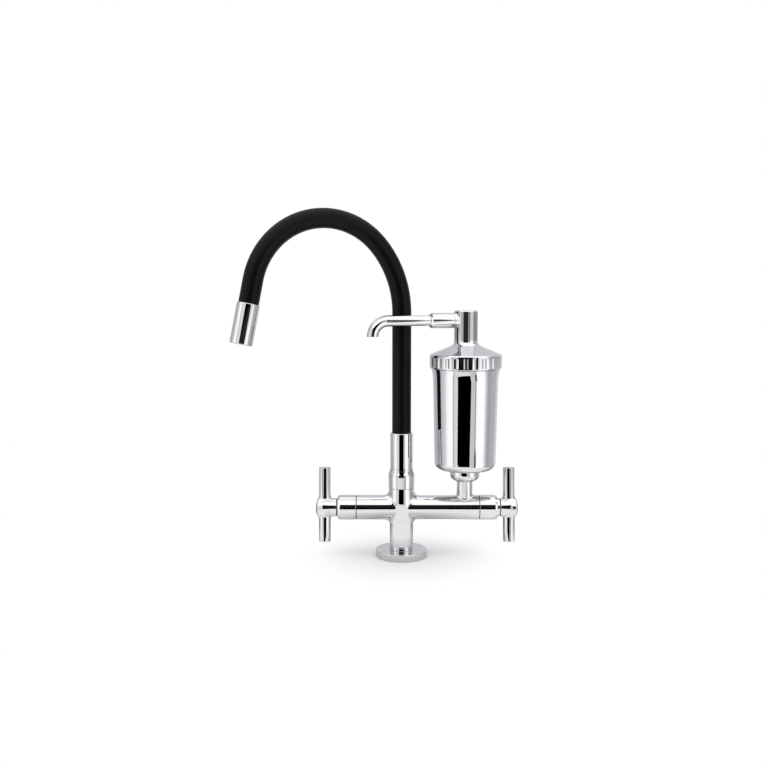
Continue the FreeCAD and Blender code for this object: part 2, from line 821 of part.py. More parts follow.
def hose_layer(outer_r, bore_r, start, end):
    """One hollow layer of the hose between two stations."""
    path = hose_path(start, end)
    point, heading = hose_at(start)
    solids = []
    for radius in (outer_r, bore_r):
        section = Part.Wire([Part.Circle(point, heading, radius).toShape()])
        solids.append(path.makePipeShell([section], True, False))
    return solids[0].cut(solids[1])


def make_hose():
    riser_foot = fitting_top - riser_top
    lower_bend_end = lower_bend_length
    lower_span_end = lower_bend_end + lower_span_length
    crown_bend_end = lower_span_end + crown_bend_length
    upper_span_end = crown_bend_end + upper_span_length
    sleeve_cuts = [riser_foot, 0, lower_bend_end, lower_span_end, crown_bend_end, upper_span_end,
                   hose_end]
    stretches = ["riser", "lower_bend", "lower_span", "crown_bend", "upper_span", "outer_bend"]
    for name, start, end in zip(stretches, sleeve_cuts, sleeve_cuts[1:]):
        save("hose_sleeve_" + name, hose_layer(sleeve_r, sleeve_bore_r, start, end))
    inner_cuts = [riser_foot - core_socket_depth, (lower_bend_end + lower_span_end) / 2,
                  (crown_bend_end + upper_span_end) / 2, hose_end + core_socket_depth]
    for name, start, end in zip(["lower", "crown", "outer"], inner_cuts, inner_cuts[1:]):
        save("gooseneck_core_" + name, hose_layer(core_r, core_bore_r, start, end))
        save("water_tube_" + name, hose_layer(tube_r, tube_bore_r, start, end))


# Nozzle, built about +Z from zero at the hose's end down to the mouth

def aerator_insert(radius, bottom, top):
    """The plastic disc that breaks the stream, with rings of small holes."""
    holes = []
    for row in range(1, aerator_row_count + 1):
        row_r = (radius - aerator_rim_width) * row / aerator_row_count
        count = aerator_first_row_count * row
        for i in range(count):
            angle = 2 * math.pi * i / count
            holes.append(post(aerator_hole_r, bottom, top, row_r * math.cos(angle),
                              row_r * math.sin(angle)))
    return post(radius, bottom, top).cut(holes)


def make_nozzle():
    mouth = nozzle_length - aerator_recess
    aerator_start = mouth - aerator_length
    gasket_start = aerator_start - aerator_gasket_thickness
    fit_r = nozzle_bore_r - thread_gap
    insert_r = fit_r - aerator_wall
    core_socket_r = core_r + thread_gap
    cavity_r = fit_r - nozzle_cavity_wall
    insert_end = mouth - aerator_step
    shell = turned([(sleeve_bore_r, 0), (nozzle_r, 0, nozzle_edge),
                    (nozzle_r, nozzle_length, nozzle_edge), (nozzle_bore_r, nozzle_length),
                    (nozzle_bore_r, nozzle_top_wall), (sleeve_bore_r, nozzle_top_wall)])
    fitting = turned([(barb_r, -barb_length), (barb_r, core_socket_depth),
                      (core_socket_r, core_socket_depth), (core_socket_r, nozzle_top_wall),
                      (fit_r, nozzle_top_wall), (fit_r, gasket_start),
                      (cavity_r, gasket_start), (cavity_r, nozzle_throat),
                      (barb_bore_r, nozzle_throat), (barb_bore_r, -barb_length)])
    pieces = {
        "nozzle_shell": shell,
        "nozzle_fitting": fitting,
        "aerator_gasket": ring(fit_r, fit_r - aerator_gasket_width, gasket_start, aerator_start),
        "aerator_housing": ring(fit_r, insert_r, aerator_start, mouth),
        "aerator_insert": aerator_insert(insert_r, insert_end - aerator_insert_thickness,
                                         insert_end),
    }
    point, heading = hose_at(hose_end)
    for name, shape in pieces.items():
        save(name, posed(shape, point, heading))


# Filter, built about Z and then carried to its place on the right arm

def filter_base():
    """The rounded foot under the cup, with its stub, thread and spigot."""
    return turned([(base_bore_r, stub_floor), (base_spigot_r, stub_floor),
                   (base_spigot_r, neck_top), (neck_r + bulb_neck_lip, neck_top),
                   (bulb_r, neck_top + bulb_slope, bulb_round), (bulb_r, bulb_top, edge_round),
                   (base_thread_r, bulb_top), (base_thread_r, base_thread_top),
                   (base_spigot_r, base_thread_top), (base_spigot_r, base_spigot_top),
                   (base_bore_r, base_spigot_top)])


def filter_cup():
    hole_r = base_thread_r + thread_gap
    boss_r = bulb_r - cup_boss_inset
    cup = turned([(hole_r, bulb_top), (boss_r, bulb_top), (boss_r, cup_floor),
                  (cup_bottom_r, cup_floor, cup_corner_r),
                  (cup_side_r, cup_flare_height, cup_flare_round),
                  (cup_rim_r, cup_rim_height, fine_round), (cup_neck_r, cup_rim_height),
                  (cup_neck_r, cup_neck_top), (cup_neck_bore_r, cup_neck_top),
                  (cup_neck_bore_r, cup_flare_height),
                  (cup_bottom_r - cup_wall, cup_inner_floor, cup_corner_r - cup_wall),
                  (hole_r, cup_inner_floor)])
    return cup.cut(seal_groove(cup_neck_r, cup_seal_minor_r, cup_seal_height))


def cup_nut():
    hole_r = base_thread_r + thread_gap
    nut = hexagon(2 * (hole_r + cup_nut_wall), cup_inner_floor, base_thread_top)
    return nut.cut(post(hole_r, cup_inner_floor, base_thread_top))


def element_end_caps():
    """The two plastic discs on the element, with sockets that slide on the spigots."""
    plate_r = element_r + end_cap_rim
    bottom_bore_r = base_spigot_r + running_gap
    bottom = ring(plate_r, bottom_bore_r, element_floor - end_cap_thickness, element_floor,
                  fine_round)
    bottom = bottom.fuse(ring(element_core_r - thread_gap, bottom_bore_r, element_floor,
                              base_spigot_top))
    top = ring(plate_r, spigot_bore_r, element_top, top_plate, fine_round)
    top = top.fuse(ring(spigot_r + top_socket_wall, spigot_r + running_gap, top_plate,
                        top_plate + top_socket_height))
    return Part.makeCompound([bottom, top])


spout_out = Vector(-math.cos(math.radians(spout_turn)), -math.sin(math.radians(spout_turn)), 0)


def filter_cap():
    """The fluted grip band, cone and stem in one piece, with a spigot for the element inside."""
    roof_height = stem_foot - cap_roof_thickness
    cap = turned([(cap_r, cap_bottom, cap_edge), (cap_r, cap_shoulder, cap_shoulder_round),
                  (stem_r, stem_foot, stem_blend_r), (stem_r, stem_top, stem_edge),
                  (0, stem_top + stem_dome), (0, stem_bore_top), (stem_bore_r, stem_bore_top),
                  (stem_bore_r, stem_bore_floor), (spigot_bore_r, stem_bore_floor),
                  (spigot_bore_r, spigot_bottom), (spigot_r, spigot_bottom),
                  (spigot_r, roof_height), (cup_neck_bore_r, cap_inner_shoulder),
                  (cap_bore_r, cap_inner_shoulder), (cap_bore_r, cap_bottom)])
    cutter_r = flute_width ** 2 / (8 * flute_depth) + flute_depth / 2
    reach = cap_r - flute_depth + cutter_r
    flute_floor = cap_bottom + flute_start
    flute_top = cap_shoulder - flute_end_margin
    cuts = [seal_groove(spigot_r, spigot_seal_minor_r, spigot_seal_height),
            rod(collar_nipple_r + thread_gap, Z * spout_height,
                Z * spout_height + spout_out * stem_r)]
    for i in range(flute_count):
        angle = 2 * math.pi * i / flute_count
        cuts.append(post(cutter_r, flute_floor, flute_top,
                         reach * math.cos(angle), reach * math.sin(angle)))
    return cap.cut(cuts)


def spout_collar():
    """The sleeve that screws into the stem and holds the small spout."""
    groove_start = stem_r + collar_groove_at
    groove_end = groove_start + collar_groove_width
    groove_r = collar_r - collar_groove_depth
    inner_end = stem_bore_r + overrun
    sleeve = turned([(spout_tube_bore_r, inner_end), (collar_r, inner_end),
                     (collar_r, groove_start), (groove_r, groove_start), (groove_r, groove_end),
                     (collar_r, groove_end), (collar_r, collar_end - collar_bevel),
                     (collar_r - collar_bevel, collar_end, fine_round),
                     (collar_bore_r, collar_end), (collar_bore_r, spout_tube_depth),
                     (spout_tube_bore_r, spout_tube_depth)])
    nipple = ring(collar_nipple_r, spout_tube_bore_r, inner_end, stem_r + overrun)
    level = Z * spout_height
    outside = posed(sleeve, level, spout_out).cut(post(stem_r, stem_bore_floor,
                                                       stem_top + overrun))
    return outside.fuse(posed(nipple, level, spout_out))


def spout_tube():
    """The small spout: a slightly widening straight run, then a quarter bend down to the mouth."""
    level = Z * spout_height
    start, seat, bend = [level + spout_out * reach
                         for reach in (spout_tube_depth, collar_end, spout_bend_start)]
    widening = Part.makeCone(spout_tube_r, spout_bend_tube_r, seat.distanceToPoint(bend), seat,
                             spout_out)
    runs = (rod(spout_tube_r, start, seat).fuse(widening), rod(spout_tube_bore_r, start, bend))
    solids = []
    for run, radius in zip(runs, (spout_bend_tube_r, spout_tube_bore_r)):
        section = Part.Face(Part.Wire([Part.Circle(bend, spout_out, radius).toShape()]))
        elbow = section.revolve(bend - Z * spout_bend_r, Z.cross(spout_out), 90)
        solids.append(run.fuse(elbow))
    return solids[0].cut(solids[1])


def make_filter():
    pieces = {
        "filter_base": filter_base(),
        "filter_cup": filter_cup(),
        "cup_nut": cup_nut(),
        "cup_seal": o_ring(cup_neck_r, cup_seal_minor_r, cup_seal_height),
        "filter_element": ring(element_r, element_core_r, element_floor, element_top),
        "element_end_caps": element_end_caps(),
        "filter_cap": filter_cap(),
        "spigot_o_ring": o_ring(spigot_r, spigot_seal_minor_r, spigot_seal_height),
        "filter_spout_collar": spout_collar(),
        "filter_spout_tube": spout_tube(),
    }
    for name, shape in pieces.items():
        moved = shape.copy()
        moved.translate(X * filter_x)
        save(name, moved)


make_deck_fixing()
save("tap_body", tap_body())
make_valve("left", -1, left_bonnet_length, 0, left_hub_gap, left_hub_length)
make_valve("right", 1, right_bonnet_length, gland_length, right_hub_gap, right_hub_length)
make_swivel()
make_hose()
make_nozzle()
make_filter()
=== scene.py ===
import json
import math

import bpy
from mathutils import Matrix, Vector


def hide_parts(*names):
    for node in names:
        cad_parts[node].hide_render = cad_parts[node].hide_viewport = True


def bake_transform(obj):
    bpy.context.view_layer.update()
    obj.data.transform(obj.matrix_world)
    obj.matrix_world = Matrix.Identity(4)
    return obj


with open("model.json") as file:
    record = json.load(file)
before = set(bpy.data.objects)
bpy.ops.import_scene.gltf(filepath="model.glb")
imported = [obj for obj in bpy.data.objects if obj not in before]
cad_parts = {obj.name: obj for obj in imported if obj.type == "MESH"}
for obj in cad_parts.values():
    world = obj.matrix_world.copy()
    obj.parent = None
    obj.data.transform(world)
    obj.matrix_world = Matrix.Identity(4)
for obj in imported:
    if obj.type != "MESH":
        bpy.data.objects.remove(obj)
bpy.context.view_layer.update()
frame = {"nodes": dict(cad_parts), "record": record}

MM = 0.001
UP = Vector((0, 0, 1))
WHITE = (1, 1, 1, 1)
BLACK = (0, 0, 0, 1)

# The hose's route as the solids have it, in millimetres; its stations start at the riser's top
ARCH_TURN = math.radians(25)
RISER_TOP = 272.0
RISER_FOOT = 127.0
RISING_ARC_R = 108.0
RISING_ARC = math.radians(42)
CROWN_ARC_R = 81.4
CROWN_ARC = math.radians(126.3)
END_RUN = 24.6
LOWER_BEND_END = 80.0
LOWER_SPAN_END = 106.0
CROWN_BEND_END = 182.0
UPPER_SPAN_END = 208.0
SOCKET_DEPTH = 6.0

RISING_LENGTH = RISING_ARC_R * RISING_ARC
ARCS_END = RISING_LENGTH + CROWN_ARC_R * CROWN_ARC
HOSE_END = ARCS_END + END_RUN
ROUTE_START = RISER_FOOT - SOCKET_DEPTH - RISER_TOP

ARCH_OUT = Vector((-math.cos(ARCH_TURN), -math.sin(ARCH_TURN), 0))

# The hose's layers, in millimetres
SLEEVE_R = 10.5
SLEEVE_WALL = 2.7
COIL_R = 7.6
COIL_BORE_R = 5.4
COIL_PITCH_IN_WIRES = 1.12
WATER_TUBE_R = 5.2
WATER_TUBE_WALL = 1.2
RING_SPACING = 2.5


def hose_at(station):
    """The point and heading of the hose's centre line, in metres; a negative station is on the riser."""
    across, height, turn = 0.0, RISER_TOP + min(station, 0), 0.0
    if station > 0:
        turn = min(station, RISING_LENGTH) / RISING_ARC_R
        across = RISING_ARC_R * (1 - math.cos(turn))
        height = RISER_TOP + RISING_ARC_R * math.sin(turn)
    if station > RISING_LENGTH:
        last = turn
        turn += (min(station, ARCS_END) - RISING_LENGTH) / CROWN_ARC_R
        across += CROWN_ARC_R * (math.cos(last) - math.cos(turn))
        height += CROWN_ARC_R * (math.sin(turn) - math.sin(last))
    heading = ARCH_OUT * math.sin(turn) + UP * math.cos(turn)
    point = ARCH_OUT * across + UP * height + heading * max(0, station - ARCS_END)
    return point * MM, heading


# Camera, at the photograph's own view

CAMERA_PLACE = (-0.0195, -0.973, 0.285)
CAMERA_PITCH = math.radians(84.64)
SENSOR_WIDTH = 36
FOCAL_LENGTH = 41.48


def place_camera():
    bpy.ops.object.camera_add(location=CAMERA_PLACE, rotation=(CAMERA_PITCH, 0, 0))
    camera = bpy.context.object
    camera.data.sensor_width = SENSOR_WIDTH
    camera.data.lens = FOCAL_LENGTH
    bpy.context.scene.camera = camera
    bpy.context.scene.view_settings.view_transform = "Standard"


# Shader nodes

def linear(colour):
    """A colour written as sRGB hex, as linear red, green, blue and alpha."""
    parts = [int(colour[i:i + 2], 16) / 255 for i in (1, 3, 5)]
    return [c / 12.92 if c <= 0.04045 else ((c + 0.055) / 1.055) ** 2.4 for c in parts] + [1.0]


def add_node(tree, kind, inputs=None, **settings):
    """Adds a node with its settings; an input is a plain value or another node's output."""
    made = tree.nodes.new(kind)
    for name, value in settings.items():
        setattr(made, name, value)
    for socket, value in (inputs or {}).items():
        if isinstance(value, bpy.types.NodeSocket):
            tree.links.new(value, made.inputs[socket])
        else:
            made.inputs[socket].default_value = value
    return made


def math_step(tree, operation, *values):
    return add_node(tree, "ShaderNodeMath", dict(enumerate(values)), operation=operation).outputs[0]


def product(tree, first, *rest):
    for value in rest:
        first = math_step(tree, "MULTIPLY", first, value)
    return first


def ramped(tree, value, edge, low=0.0, high=1.0, **settings):
    """Goes evenly from low to high while the value passes from the edge's first limit to its second."""
    inputs = {"Value": value, "From Min": edge[0], "From Max": edge[1], "To Min": low, "To Max": high}
    return add_node(tree, "ShaderNodeMapRange", inputs, **settings).outputs["Result"]


def mixed_colour(tree, share, first, second):
    inputs = {"Factor": share, "A": first, "B": second}
    return add_node(tree, "ShaderNodeMix", inputs, data_type="RGBA").outputs["Result"]


def mixed_shader(tree, share, first, second):
    return add_node(tree, "ShaderNodeMixShader", {0: share, 1: first, 2: second}).outputs[0]


def glow(tree, kind, strength, colour=WHITE):
    return add_node(tree, kind, {"Color": colour, "Strength": strength}).outputs[0]


def noise(tree, scale, detail):
    """Fine unevenness fixed to the piece; scale is in grains per metre."""
    place = add_node(tree, "ShaderNodeTexCoord").outputs["Object"]
    return add_node(tree, "ShaderNodeTexNoise", {"Vector": place, "Scale": scale, "Detail": detail}
                    ).outputs["Fac"]


def relief(tree, height, strength, depth):
    return add_node(tree, "ShaderNodeBump", {"Height": height, "Strength": strength, "Distance": depth}
                    ).outputs["Normal"]


def bare_material(name):
    """A material with no nodes yet."""
    material = bpy.data.materials.new(name)
    material.use_nodes = True
    material.node_tree.nodes.clear()
    return material, material.node_tree


# Materials

def surface_material(name, **plain):
    """A material with one Principled shader; plain holds the sockets that are the same all over."""
    material = bpy.data.materials.new(name)
    material.use_nodes = True
    shader = material.node_tree.nodes["Principled BSDF"]
    for socket, value in plain.items():
        shader.inputs[socket.replace("_", " ")].default_value = value
    return material, material.node_tree, shader


def finish_surface(tree, shader, tone, rough, normal):
    for socket, value in (("Base Color", tone), ("Roughness", rough), ("Normal", normal)):
        tree.links.new(value, shader.inputs[socket])


def polished_chrome():
    """Chrome plate on polished brass: a clear mirror with faint wiping marks and a casting's slow waves."""
    material, tree, shader = surface_material("polished_chrome", Metallic=1.0)
    marks = noise(tree, 90.0, 4.0)
    tone = mixed_colour(tree, marks, linear("#D0D0D1"), linear("#DCDCDD"))
    rough = ramped(tree, marks, (0.35, 0.7), 0.0, 0.025)
    finish_surface(tree, shader, tone, rough, relief(tree, noise(tree, 30.0, 0.0), 0.15, 0.00008))
    return material


def silicone_rubber():
    """Extruded black silicone: matte, with a soft sheen and a fine dusty grain."""
    material, tree, shader = surface_material("silicone_rubber", Specular_IOR_Level=0.13)
    grain = noise(tree, 900.0, 3.0)
    tone = mixed_colour(tree, noise(tree, 60.0, 2.0), linear("#030303"), linear("#080808"))
    rough = ramped(tree, grain, (0.0, 1.0), 0.3, 0.42)
    finish_surface(tree, shader, tone, rough, relief(tree, grain, 0.3, 0.00006))
    return material


def mottled(name, dark, light, rough_low, rough_high, scale, depth, **plain):
    """A plain industrial finish: two near tones, uneven gloss and a fine grain."""
    material, tree, shader = surface_material(name, **plain)
    grain = noise(tree, scale, 5.0)
    tone = mixed_colour(tree, grain, linear(dark), linear(light))
    rough = ramped(tree, grain, (0.0, 1.0), rough_low, rough_high)
    finish_surface(tree, shader, tone, rough, relief(tree, grain, 0.4, depth))
    return material


# Surroundings: white floor, white background, and the softboxes and dark gaps that the chrome mirrors

# How the chrome shows the horizon: degrees from the camera's side towards +X, and a grey level
HORIZON = [(-180, "#B4B6BA"), (-160, "#B4B6BA"), (-146, "#A9ABAF"), (-125, "#9EA0A4"), (-104, "#AEB0B3"),
           (-92, "#C0C1C3"), (-82, "#CDCECF"), (-74, "#F2F2F2"), (-66, "#FDFDFD"), (-53, "#FDFDFD"),
           (-50, "#B4B5B7"), (-47, "#B0B1B3"), (-45, "#D0D0D1"), (-24, "#D8D8D9"), (0, "#D8D8D9"),
           (14, "#C6C7C8"), (24, "#BEBFC1"), (28.5, "#C8C9CA"), (30, "#909296"), (32.5, "#909296"),
           (34.5, "#EDEDED"), (40, "#FDFDFD"), (64, "#FDFDFD"), (72, "#D2D3D4"), (79, "#AEB0B3"),
           (86, "#9A9CA0"), (98, "#A4A6AA"), (116, "#ABADB2"), (126, "#A5A7AC"), (133, "#BEC0C5"),
           (150, "#BEC0C5"), (180, "#B4B6BA")]
# How the chrome shows what is above the horizon's greys, from this rise of a ray on
CEILING = "#BDC1C9"
CEILING_STARTS = (0.55, 0.7)

# Chrome returns about two thirds of the light, so what it mirrors is brighter than it shows by this factor
MIRROR_GAIN = 1.5
# The light that the matt pieces and the floor get from all round
SOFT_LIGHT = 0.85

# The overhead softbox: its soft edges on a ceiling one unit up, and the least rise of a ray towards it
SOFTBOX_FRONT = (-1.95, -1.85)
SOFTBOX_BACK = (0.56, 0.42)
SOFTBOX_ENDS = (1.35, 1.25)
LEAST_RISE = 0.02

# The dim band and the black gap: soft edges in the rise of a ray, or in its azimuth for the gap's sides
DIM_BAND_FOOT = (-0.075, -0.04)
DIM_BAND_TOP = (0.04, 0.0)
DIM_SHARE = 0.4
GAP_LEFT = (math.radians(29.6), math.radians(30.4))
GAP_RIGHT = (math.radians(36.0), math.radians(35.2))
GAP_TOP = (0.31, 0.295)
GAP_FOOT = (-0.48, -0.46)
GAP_BREAK_DEPTH = 0.148
GAP_BREAK = (0.055, 0.065)


def horizon_greys(tree, azimuth):
    share = ramped(tree, azimuth, (-math.pi, math.pi))
    ramp = add_node(tree, "ShaderNodeValToRGB", {"Fac": share})
    stops = ramp.color_ramp.elements
    for i, (degrees, grey) in enumerate(HORIZON):
        at = (degrees + 180) / 360
        stop = stops.new(at) if 0 < i < len(HORIZON) - 1 else stops[0 if i == 0 else len(stops) - 1]
        stop.position = at
        stop.color = linear(grey)
    return ramp.outputs["Color"]


def studio_world():
    """White to the camera, soft light on the pieces, and a whole studio to the chrome."""
    world = bpy.data.worlds.new("studio")
    bpy.context.scene.world = world
    world.use_nodes = True
    tree = world.node_tree
    tree.nodes.clear()
    ray = add_node(tree, "ShaderNodeTexCoord").outputs["Generated"]
    axes = add_node(tree, "ShaderNodeSeparateXYZ", {"Vector": ray}).outputs
    azimuth = math_step(tree, "ARCTAN2", axes["X"], math_step(tree, "MULTIPLY", axes["Y"], -1.0))
    walls = mixed_colour(tree, ramped(tree, axes["Z"], CEILING_STARTS), horizon_greys(tree, azimuth),
                         linear(CEILING))
    # Level with the tap the walls are darker, which the leaning bars and the stem mirror
    dim = product(tree, ramped(tree, axes["Z"], DIM_BAND_FOOT, 0.0, DIM_SHARE),
                  ramped(tree, axes["Z"], DIM_BAND_TOP))
    walls = mixed_colour(tree, dim, walls, BLACK)
    # A narrow black gap at the right, broken at the height that the cup and the column mirror
    off_break = math_step(tree, "ABSOLUTE", math_step(tree, "ADD", axes["Z"], GAP_BREAK_DEPTH))
    gap = product(tree, ramped(tree, azimuth, GAP_LEFT), ramped(tree, azimuth, GAP_RIGHT),
                  ramped(tree, axes["Z"], GAP_TOP), ramped(tree, axes["Z"], GAP_FOOT),
                  ramped(tree, off_break, GAP_BREAK))
    walls = mixed_colour(tree, gap, walls, BLACK)
    # The overhead softbox is a rectangle on a ceiling one unit up
    rise = math_step(tree, "MAXIMUM", axes["Z"], LEAST_RISE)
    depth = math_step(tree, "DIVIDE", axes["Y"], rise)
    side = math_step(tree, "ABSOLUTE", math_step(tree, "DIVIDE", axes["X"], rise))
    softbox = product(tree, ramped(tree, depth, SOFTBOX_FRONT), ramped(tree, depth, SOFTBOX_BACK),
                      ramped(tree, side, SOFTBOX_ENDS))
    mirrored = glow(tree, "ShaderNodeBackground", MIRROR_GAIN, mixed_colour(tree, softbox, walls, WHITE))
    soft = glow(tree, "ShaderNodeBackground", SOFT_LIGHT)
    backdrop = glow(tree, "ShaderNodeBackground", 1.0)
    path = add_node(tree, "ShaderNodeLightPath").outputs
    unseen = mixed_shader(tree, path["Is Glossy Ray"], soft, mirrored)
    add_node(tree, "ShaderNodeOutputWorld",
             {"Surface": mixed_shader(tree, path["Is Camera Ray"], unseen, backdrop)})


# The floor, in metres from the tap's foot
FLOOR_R = 4.0
FLOOR_FADE = (0.03, 0.12)

# The round table that the chrome mirrors is painted light, a glow on the floor that is bright in front of
# the tap, painted shade behind it and a painted shadow at its foot: distances in metres, light levels, and
# how much it hides the floor
TABLE_DEPTH = (-0.02, 0.1)
TABLE_FRONT_LEVEL = 1.18
TABLE_BACK_LEVEL = 0.15
PAINTED_FOOT_SHADOW_REACH = (0.03, 0.1)
PAINTED_FOOT_SHADOW_SHARE = 0.5
TABLE_SHARE = 0.9
TABLE_EDGE = (0.26, 0.34)


def white_floor():
    """A pale floor that keeps the shadow near the tap and fades into the white background.

    The chrome mirrors only a round table of it, which glows with painted light: bright in front of the tap,
    with painted shade behind it and a painted shadow at the tap's foot.
    """
    bpy.ops.object.select_all(action="DESELECT")
    bpy.ops.mesh.primitive_circle_add(vertices=96, radius=FLOOR_R, fill_type="NGON")
    floor = bpy.context.object
    floor.name = "floor"
    material, tree = bare_material("white_tabletop")
    place = add_node(tree, "ShaderNodeTexCoord").outputs["Object"]
    distance = add_node(tree, "ShaderNodeVectorMath", {0: place}, operation="LENGTH").outputs["Value"]
    behind = add_node(tree, "ShaderNodeSeparateXYZ", {"Vector": place}).outputs["Y"]
    path = add_node(tree, "ShaderNodeLightPath").outputs
    fade = product(tree, ramped(tree, distance, FLOOR_FADE, interpolation_type="SMOOTHSTEP"),
                   path["Is Camera Ray"])
    paper = add_node(tree, "ShaderNodeBsdfDiffuse", {"Color": linear("#F7F7F7")}).outputs[0]
    surface = mixed_shader(tree, fade, paper, glow(tree, "ShaderNodeEmission", 1.0))
    # Painted light for the chrome's reflections: the floor's glow is bright in front, dim behind, and halved
    # at the tap's foot as a painted contact shadow
    level = product(tree, ramped(tree, behind, TABLE_DEPTH, TABLE_FRONT_LEVEL, TABLE_BACK_LEVEL),
                    ramped(tree, distance, PAINTED_FOOT_SHADOW_REACH, PAINTED_FOOT_SHADOW_SHARE, 1.0))
    painted_table_glow = glow(tree, "ShaderNodeEmission", level)
    surface = mixed_shader(tree, product(tree, path["Is Glossy Ray"], TABLE_SHARE), surface, painted_table_glow)
    past_edge = product(tree, path["Is Glossy Ray"], ramped(tree, distance, TABLE_EDGE))
    clear = add_node(tree, "ShaderNodeBsdfTransparent").outputs[0]
    add_node(tree, "ShaderNodeOutputMaterial", {"Surface": mixed_shader(tree, past_edge, surface, clear)})
    floor.data.materials.append(material)


# The card leans away from the tap; it is a little lighter at the height that the bars and the nozzle mirror
CARD_CORNERS = [(-0.228, -0.47, -0.01), (0.164, -0.47, -0.01), (-0.44, -0.946, 0.693), (0.45, -0.946, 0.693)]
CARD_LIGHT_FOOT = (0.16, 0.2)
CARD_LIGHT_TOP = (0.36, 0.3)
CARD_LIGHT = 0.03


def dark_card():
    """A black flag in front of the tap, which only the chrome sees: the dark gap between the softboxes."""
    bpy.ops.object.select_all(action="DESELECT")
    bpy.ops.mesh.primitive_plane_add(size=1)
    card = bpy.context.object
    card.name = "dark_card"
    for vertex, corner in zip(card.data.vertices, CARD_CORNERS):
        vertex.co = corner
    material, tree = bare_material("black_flag")
    place = add_node(tree, "ShaderNodeTexCoord").outputs["Object"]
    height = add_node(tree, "ShaderNodeSeparateXYZ", {"Vector": place}).outputs["Z"]
    level = product(tree, ramped(tree, height, CARD_LIGHT_FOOT),
                    ramped(tree, height, CARD_LIGHT_TOP, 0.0, CARD_LIGHT))
    add_node(tree, "ShaderNodeOutputMaterial", {"Surface": glow(tree, "ShaderNodeEmission", level)})
    card.data.materials.append(material)
    card.visible_camera = card.visible_diffuse = card.visible_shadow = False


LAMP_PLACE = (-0.25, -0.35, 1.6)
LAMP_WIDTH = 1.1
LAMP_POWER = 6.0


def soft_lamp():
    """A round softbox above the tap, aimed at its foot, which gives the soft shadow."""
    bpy.ops.object.light_add(type="AREA", location=LAMP_PLACE)
    lamp = bpy.context.object
    lamp.rotation_euler = Vector(LAMP_PLACE).to_track_quat("Z", "Y").to_euler()
    lamp.data.shape = "DISK"
    lamp.data.size = LAMP_WIDTH
    lamp.data.energy = LAMP_POWER
    lamp.visible_glossy = False


# Pieces along the hose, each modelled straight and then laid along the route

def lay_route():
    """The hose's centre line as a curve that the straight pieces are bent along."""
    knots = [ROUTE_START, 0, RISING_LENGTH, RISING_LENGTH + (ARCS_END - RISING_LENGTH) / 3,
             RISING_LENGTH + (ARCS_END - RISING_LENGTH) * 2 / 3, ARCS_END, HOSE_END + SOCKET_DEPTH]
    radii = [None, RISING_ARC_R, CROWN_ARC_R, CROWN_ARC_R, CROWN_ARC_R, None]
    reaches = []
    for low, high, radius in zip(knots, knots[1:], radii):
        angle = (high - low) / radius if radius else 0
        reaches.append(MM * (4 / 3 * math.tan(angle / 4) * radius if radius else (high - low) / 3))
    curve = bpy.data.curves.new("hose_route", "CURVE")
    curve.dimensions = "3D"
    curve.resolution_u = 48
    curve.twist_mode = "MINIMUM"
    curve.use_deform_bounds = False
    spline = curve.splines.new("BEZIER")
    spline.bezier_points.add(len(knots) - 1)
    for i, (knot, point) in enumerate(zip(knots, spline.bezier_points)):
        place, heading = hose_at(knot)
        point.co = place
        point.handle_left = place - heading * reaches[max(i - 1, 0)]
        point.handle_right = place + heading * reaches[min(i, len(reaches) - 1)]
    route = bpy.data.objects.new("hose_route", curve)
    bpy.context.scene.collection.objects.link(route)
    return route


def apply_modifier(piece, kind, **settings):
    modifier = piece.modifiers.new(kind.lower(), kind)
    for name, value in settings.items():
        setattr(modifier, name, value)
    bpy.context.view_layer.objects.active = piece
    bpy.ops.object.modifier_apply(modifier=modifier.name)


def hose_tube(name, route, start, end, outer_r, wall):
    """A straight open tube between two stations, divided into rings, walled, and bent along the route."""
    low, high = (start - ROUTE_START) * MM, (end - ROUTE_START) * MM
    bpy.ops.object.select_all(action="DESELECT")
    bpy.ops.mesh.primitive_cylinder_add(vertices=64, radius=outer_r * MM, depth=high - low,
                                        end_fill_type="NOTHING", location=(0, 0, (low + high) / 2))
    tube = bpy.context.object
    tube.name = name
    bpy.ops.object.transform_apply(location=True, rotation=True, scale=True)
    rings = max(1, round((end - start) / RING_SPACING))
    bpy.ops.object.mode_set(mode="EDIT")
    for i in range(1, rings):
        bpy.ops.mesh.select_all(action="SELECT")
        bpy.ops.mesh.bisect(plane_co=(0, 0, low + (high - low) * i / rings), plane_no=(0, 0, 1))
    bpy.ops.object.mode_set(mode="OBJECT")
    apply_modifier(tube, "SOLIDIFY", thickness=wall * MM, offset=-1.0)
    apply_modifier(tube, "CURVE", object=route, deform_axis="POS_Z")
    bpy.ops.object.shade_smooth_by_angle(angle=math.radians(35))
    return tube


